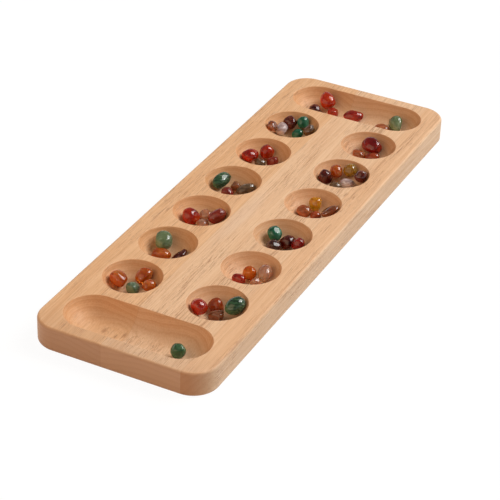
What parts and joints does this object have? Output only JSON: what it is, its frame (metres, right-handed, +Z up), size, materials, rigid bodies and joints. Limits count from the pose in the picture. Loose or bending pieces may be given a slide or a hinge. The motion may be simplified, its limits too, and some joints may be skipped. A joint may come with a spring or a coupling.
{
  "type": "mancala board",
  "caption": "Wooden two-row mancala board with round pits, a long store across each end, and loose polished stones that lift out.",
  "frame": {"origin": "centre of the board's underside, on the surface that it stands on", "axes": "+X along the board towards the far store, +Y towards the left row of pits, +Z up"},
  "size_m": [0.45, 0.1474, 0.024],
  "materials": {
    "wood_left": "satin",
    "wood_middle": "satin",
    "wood_right": "satin",
    "stone_amber": "polished",
    "stone_white": "polished",
    "stone_rust": "polished",
    "stone_green": "polished",
    "stone_moss": "polished",
    "stone_olive": "polished",
    "stone_red": "polished",
    "stone_slate": "polished",
    "stone_coral": "polished",
    "stone_clear": "polished",
    "stone_jade": "polished",
    "stone_maroon": "polished",
    "stone_pale": "polished",
    "stone_pink": "polished",
    "stone_plum": "polished",
    "stone_teal": "polished",
    "stone_orange": "polished",
    "stone_brown": "polished",
    "stone_yellow": "polished",
    "stone_crimson": "polished"
  },
  "bodies": {
    "board": {"stave_left": "wood_left", "stave_middle": "wood_middle", "stave_right": "wood_right"},
    "stone_far_store_brown": {"stone_far_store_brown": "stone_brown"},
    "stone_far_store_coral": {"stone_far_store_coral": "stone_coral"},
    "stone_far_store_crimson": {"stone_far_store_crimson": "stone_crimson"},
    "stone_far_store_maroon": {"stone_far_store_maroon": "stone_maroon"},
    "stone_far_store_pale": {"stone_far_store_pale": "stone_pale"},
    "stone_far_store_red": {"stone_far_store_red": "stone_red"},
    "stone_left_1_amber": {"stone_left_1_amber": "stone_amber"},
    "stone_left_1_green": {"stone_left_1_green": "stone_green"},
    "stone_left_1_moss": {"stone_left_1_moss": "stone_moss"},
    "stone_left_1_olive": {"stone_left_1_olive": "stone_olive"},
    "stone_left_1_rust": {"stone_left_1_rust": "stone_rust"},
    "stone_left_1_white": {"stone_left_1_white": "stone_white"},
    "stone_left_2_coral": {"stone_left_2_coral": "stone_coral"},
    "stone_left_2_red": {"stone_left_2_red": "stone_red"},
    "stone_left_2_rust": {"stone_left_2_rust": "stone_rust"},
    "stone_left_2_slate": {"stone_left_2_slate": "stone_slate"},
    "stone_left_3_clear": {"stone_left_3_clear": "stone_clear"},
    "stone_left_3_jade": {"stone_left_3_jade": "stone_jade"},
    "stone_left_3_maroon": {"stone_left_3_maroon": "stone_maroon"},
    "stone_left_3_slate": {"stone_left_3_slate": "stone_slate"},
    "stone_left_4_clear": {"stone_left_4_clear": "stone_clear"},
    "stone_left_4_maroon": {"stone_left_4_maroon": "stone_maroon"},
    "stone_left_4_red": {"stone_left_4_red": "stone_red"},
    "stone_left_4_white": {"stone_left_4_white": "stone_white"},
    "stone_left_5_amber": {"stone_left_5_amber": "stone_amber"},
    "stone_left_5_pale": {"stone_left_5_pale": "stone_pale"},
    "stone_left_5_plum": {"stone_left_5_plum": "stone_plum"},
    "stone_left_6_brown": {"stone_left_6_brown": "stone_brown"},
    "stone_left_6_orange": {"stone_left_6_orange": "stone_orange"},
    "stone_left_6_rust": {"stone_left_6_rust": "stone_rust"},
    "stone_left_6_teal": {"stone_left_6_teal": "stone_teal"},
    "stone_near_store_green": {"stone_near_store_green": "stone_green"},
    "stone_right_1_brown": {"stone_right_1_brown": "stone_brown"},
    "stone_right_1_maroon": {"stone_right_1_maroon": "stone_maroon"},
    "stone_right_1_rust": {"stone_right_1_rust": "stone_rust"},
    "stone_right_2_amber": {"stone_right_2_amber": "stone_amber"},
    "stone_right_2_brown": {"stone_right_2_brown": "stone_brown"},
    "stone_right_2_olive": {"stone_right_2_olive": "stone_olive"},
    "stone_right_2_plum": {"stone_right_2_plum": "stone_plum"},
    "stone_right_2_white": {"stone_right_2_white": "stone_white"},
    "stone_right_2_yellow": {"stone_right_2_yellow": "stone_yellow"},
    "stone_right_3_coral": {"stone_right_3_coral": "stone_coral"},
    "stone_right_3_rust": {"stone_right_3_rust": "stone_rust"},
    "stone_right_3_slate": {"stone_right_3_slate": "stone_slate"},
    "stone_right_3_yellow": {"stone_right_3_yellow": "stone_yellow"},
    "stone_right_4_green": {"stone_right_4_green": "stone_green"},
    "stone_right_4_maroon": {"stone_right_4_maroon": "stone_maroon"},
    "stone_right_4_plum": {"stone_right_4_plum": "stone_plum"},
    "stone_right_4_red": {"stone_right_4_red": "stone_red"},
    "stone_right_5_clear": {"stone_right_5_clear": "stone_clear"},
    "stone_right_5_maroon": {"stone_right_5_maroon": "stone_maroon"},
    "stone_right_5_orange": {"stone_right_5_orange": "stone_orange"},
    "stone_right_5_pink": {"stone_right_5_pink": "stone_pink"},
    "stone_right_6_brown": {"stone_right_6_brown": "stone_brown"},
    "stone_right_6_crimson": {"stone_right_6_crimson": "stone_crimson"},
    "stone_right_6_green": {"stone_right_6_green": "stone_green"},
    "stone_right_6_red": {"stone_right_6_red": "stone_red"}
  },
  "joints": [
    {"name": "lift_far_store_brown", "type": "slide", "parent": "board", "child": "stone_far_store_brown", "axis": [0, 0, 1], "range_m": [0, 0.06]},
    {"name": "lift_far_store_coral", "type": "slide", "parent": "board", "child": "stone_far_store_coral", "axis": [0, 0, 1], "range_m": [0, 0.06]},
    {"name": "lift_far_store_crimson", "type": "slide", "parent": "board", "child": "stone_far_store_crimson", "axis": [0, 0, 1], "range_m": [0, 0.06]},
    {"name": "lift_far_store_maroon", "type": "slide", "parent": "board", "child": "stone_far_store_maroon", "axis": [0, 0, 1], "range_m": [0, 0.06]},
    {"name": "lift_far_store_pale", "type": "slide", "parent": "board", "child": "stone_far_store_pale", "axis": [0, 0, 1], "range_m": [0, 0.06]},
    {"name": "lift_far_store_red", "type": "slide", "parent": "board", "child": "stone_far_store_red", "axis": [0, 0, 1], "range_m": [0, 0.06]},
    {"name": "lift_left_1_amber", "type": "slide", "parent": "board", "child": "stone_left_1_amber", "axis": [0, 0, 1], "range_m": [0, 0.06]},
    {"name": "lift_left_1_green", "type": "slide", "parent": "board", "child": "stone_left_1_green", "axis": [0, 0, 1], "range_m": [0, 0.06]},
    {"name": "lift_left_1_moss", "type": "slide", "parent": "board", "child": "stone_left_1_moss", "axis": [0, 0, 1], "range_m": [0, 0.06]},
    {"name": "lift_left_1_olive", "type": "slide", "parent": "board", "child": "stone_left_1_olive", "axis": [0, 0, 1], "range_m": [0, 0.06]},
    {"name": "lift_left_1_rust", "type": "slide", "parent": "board", "child": "stone_left_1_rust", "axis": [0, 0, 1], "range_m": [0, 0.06]},
    {"name": "lift_left_1_white", "type": "slide", "parent": "board", "child": "stone_left_1_white", "axis": [0, 0, 1], "range_m": [0, 0.06]},
    {"name": "lift_left_2_coral", "type": "slide", "parent": "board", "child": "stone_left_2_coral", "axis": [0, 0, 1], "range_m": [0, 0.06]},
    {"name": "lift_left_2_red", "type": "slide", "parent": "board", "child": "stone_left_2_red", "axis": [0, 0, 1], "range_m": [0, 0.06]},
    {"name": "lift_left_2_rust", "type": "slide", "parent": "board", "child": "stone_left_2_rust", "axis": [0, 0, 1], "range_m": [0, 0.06]},
    {"name": "lift_left_2_slate", "type": "slide", "parent": "board", "child": "stone_left_2_slate", "axis": [0, 0, 1], "range_m": [0, 0.06]},
    {"name": "lift_left_3_clear", "type": "slide", "parent": "board", "child": "stone_left_3_clear", "axis": [0, 0, 1], "range_m": [0, 0.06]},
    {"name": "lift_left_3_jade", "type": "slide", "parent": "board", "child": "stone_left_3_jade", "axis": [0, 0, 1], "range_m": [0, 0.06]},
    {"name": "lift_left_3_maroon", "type": "slide", "parent": "board", "child": "stone_left_3_maroon", "axis": [0, 0, 1], "range_m": [0, 0.06]},
    {"name": "lift_left_3_slate", "type": "slide", "parent": "board", "child": "stone_left_3_slate", "axis": [0, 0, 1], "range_m": [0, 0.06]},
    {"name": "lift_left_4_clear", "type": "slide", "parent": "board", "child": "stone_left_4_clear", "axis": [0, 0, 1], "range_m": [0, 0.06]},
    {"name": "lift_left_4_maroon", "type": "slide", "parent": "board", "child": "stone_left_4_maroon", "axis": [0, 0, 1], "range_m": [0, 0.06]},
    {"name": "lift_left_4_red", "type": "slide", "parent": "board", "child": "stone_left_4_red", "axis": [0, 0, 1], "range_m": [0, 0.06]},
    {"name": "lift_left_4_white", "type": "slide", "parent": "board", "child": "stone_left_4_white", "axis": [0, 0, 1], "range_m": [0, 0.06]},
    {"name": "lift_left_5_amber", "type": "slide", "parent": "board", "child": "stone_left_5_amber", "axis": [0, 0, 1], "range_m": [0, 0.06]},
    {"name": "lift_left_5_pale", "type": "slide", "parent": "board", "child": "stone_left_5_pale", "axis": [0, 0, 1], "range_m": [0, 0.06]},
    {"name": "lift_left_5_plum", "type": "slide", "parent": "board", "child": "stone_left_5_plum", "axis": [0, 0, 1], "range_m": [0, 0.06]},
    {"name": "lift_left_6_brown", "type": "slide", "parent": "board", "child": "stone_left_6_brown", "axis": [0, 0, 1], "range_m": [0, 0.06]},
    {"name": "lift_left_6_orange", "type": "slide", "parent": "board", "child": "stone_left_6_orange", "axis": [0, 0, 1], "range_m": [0, 0.06]},
    {"name": "lift_left_6_rust", "type": "slide", "parent": "board", "child": "stone_left_6_rust", "axis": [0, 0, 1], "range_m": [0, 0.06]},
    {"name": "lift_left_6_teal", "type": "slide", "parent": "board", "child": "stone_left_6_teal", "axis": [0, 0, 1], "range_m": [0, 0.06]},
    {"name": "lift_near_store_green", "type": "slide", "parent": "board", "child": "stone_near_store_green", "axis": [0, 0, 1], "range_m": [0, 0.06]},
    {"name": "lift_right_1_brown", "type": "slide", "parent": "board", "child": "stone_right_1_brown", "axis": [0, 0, 1], "range_m": [0, 0.06]},
    {"name": "lift_right_1_maroon", "type": "slide", "parent": "board", "child": "stone_right_1_maroon", "axis": [0, 0, 1], "range_m": [0, 0.06]},
    {"name": "lift_right_1_rust", "type": "slide", "parent": "board", "child": "stone_right_1_rust", "axis": [0, 0, 1], "range_m": [0, 0.06]},
    {"name": "lift_right_2_amber", "type": "slide", "parent": "board", "child": "stone_right_2_amber", "axis": [0, 0, 1], "range_m": [0, 0.06]},
    {"name": "lift_right_2_brown", "type": "slide", "parent": "board", "child": "stone_right_2_brown", "axis": [0, 0, 1], "range_m": [0, 0.06]},
    {"name": "lift_right_2_olive", "type": "slide", "parent": "board", "child": "stone_right_2_olive", "axis": [0, 0, 1], "range_m": [0, 0.06]},
    {"name": "lift_right_2_plum", "type": "slide", "parent": "board", "child": "stone_right_2_plum", "axis": [0, 0, 1], "range_m": [0, 0.06]},
    {"name": "lift_right_2_white", "type": "slide", "parent": "board", "child": "stone_right_2_white", "axis": [0, 0, 1], "range_m": [0, 0.06]},
    {"name": "lift_right_2_yellow", "type": "slide", "parent": "board", "child": "stone_right_2_yellow", "axis": [0, 0, 1], "range_m": [0, 0.06]},
    {"name": "lift_right_3_coral", "type": "slide", "parent": "board", "child": "stone_right_3_coral", "axis": [0, 0, 1], "range_m": [0, 0.06]},
    {"name": "lift_right_3_rust", "type": "slide", "parent": "board", "child": "stone_right_3_rust", "axis": [0, 0, 1], "range_m": [0, 0.06]},
    {"name": "lift_right_3_slate", "type": "slide", "parent": "board", "child": "stone_right_3_slate", "axis": [0, 0, 1], "range_m": [0, 0.06]},
    {"name": "lift_right_3_yellow", "type": "slide", "parent": "board", "child": "stone_right_3_yellow", "axis": [0, 0, 1], "range_m": [0, 0.06]},
    {"name": "lift_right_4_green", "type": "slide", "parent": "board", "child": "stone_right_4_green", "axis": [0, 0, 1], "range_m": [0, 0.06]},
    {"name": "lift_right_4_maroon", "type": "slide", "parent": "board", "child": "stone_right_4_maroon", "axis": [0, 0, 1], "range_m": [0, 0.06]},
    {"name": "lift_right_4_plum", "type": "slide", "parent": "board", "child": "stone_right_4_plum", "axis": [0, 0, 1], "range_m": [0, 0.06]},
    {"name": "lift_right_4_red", "type": "slide", "parent": "board", "child": "stone_right_4_red", "axis": [0, 0, 1], "range_m": [0, 0.06]},
    {"name": "lift_right_5_clear", "type": "slide", "parent": "board", "child": "stone_right_5_clear", "axis": [0, 0, 1], "range_m": [0, 0.06]},
    {"name": "lift_right_5_maroon", "type": "slide", "parent": "board", "child": "stone_right_5_maroon", "axis": [0, 0, 1], "range_m": [0, 0.06]},
    {"name": "lift_right_5_orange", "type": "slide", "parent": "board", "child": "stone_right_5_orange", "axis": [0, 0, 1], "range_m": [0, 0.06]},
    {"name": "lift_right_5_pink", "type": "slide", "parent": "board", "child": "stone_right_5_pink", "axis": [0, 0, 1], "range_m": [0, 0.06]},
    {"name": "lift_right_6_brown", "type": "slide", "parent": "board", "child": "stone_right_6_brown", "axis": [0, 0, 1], "range_m": [0, 0.06]},
    {"name": "lift_right_6_crimson", "type": "slide", "parent": "board", "child": "stone_right_6_crimson", "axis": [0, 0, 1], "range_m": [0, 0.06]},
    {"name": "lift_right_6_green", "type": "slide", "parent": "board", "child": "stone_right_6_green", "axis": [0, 0, 1], "range_m": [0, 0.06]},
    {"name": "lift_right_6_red", "type": "slide", "parent": "board", "child": "stone_right_6_red", "axis": [0, 0, 1], "range_m": [0, 0.06]}
  ]
}
